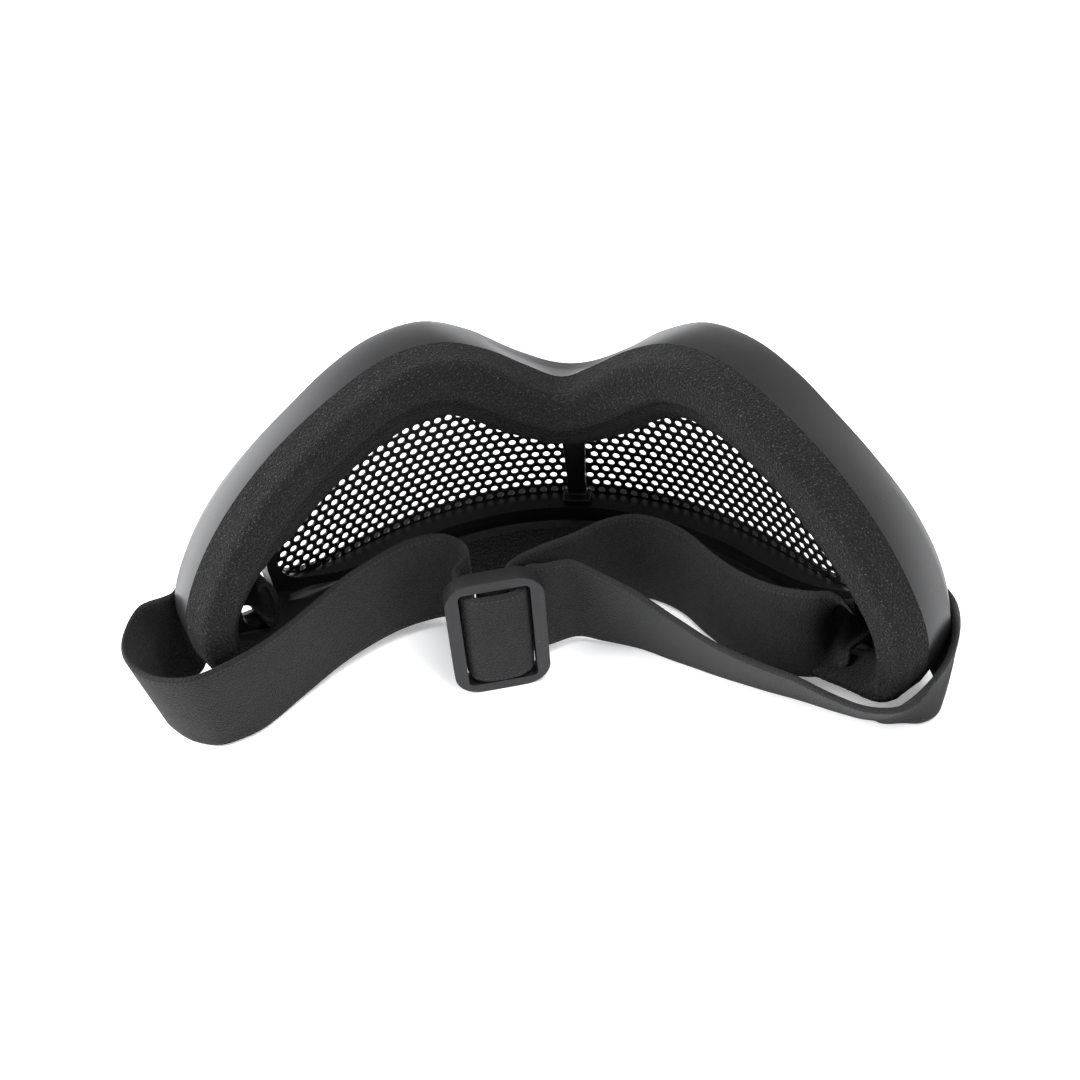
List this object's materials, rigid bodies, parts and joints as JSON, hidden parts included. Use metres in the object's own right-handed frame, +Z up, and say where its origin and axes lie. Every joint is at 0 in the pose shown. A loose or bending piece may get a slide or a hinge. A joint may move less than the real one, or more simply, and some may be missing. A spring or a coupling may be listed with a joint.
{
  "type": "mesh safety goggles",
  "caption": "Wraparound safety goggles with a pierced black steel mesh, foam-lined plastic frame and an elastic strap with a slider, lying upside down on the brow edge.",
  "frame": {"origin": "middle of the frame's flat brow underside, on the centre plane, where the goggles stand upside down", "axes": "+X to the picture's right along the width, +Y to the world side of the mesh, +Z up, from the brow edge towards the cheeks"},
  "size_m": [0.1694, 0.0822, 0.0685],
  "materials": {
    "satin_black_plastic": "satin moulded black plastic",
    "black_steel": "black coated steel sheet, pierced",
    "gloss_black_plastic": "smooth black plastic",
    "dark_foam": "open foam, felt-like",
    "black_elastic": "woven elastic webbing",
    "matt_black_plastic": "matt moulded plastic"
  },
  "bodies": {
    "root": {"frame": "satin_black_plastic", "mesh_lens": "black_steel", "nose_bar": "gloss_black_plastic", "foam_pad": "dark_foam", "strap": "black_elastic", "slider": "matt_black_plastic"}
  },
  "joints": []
}
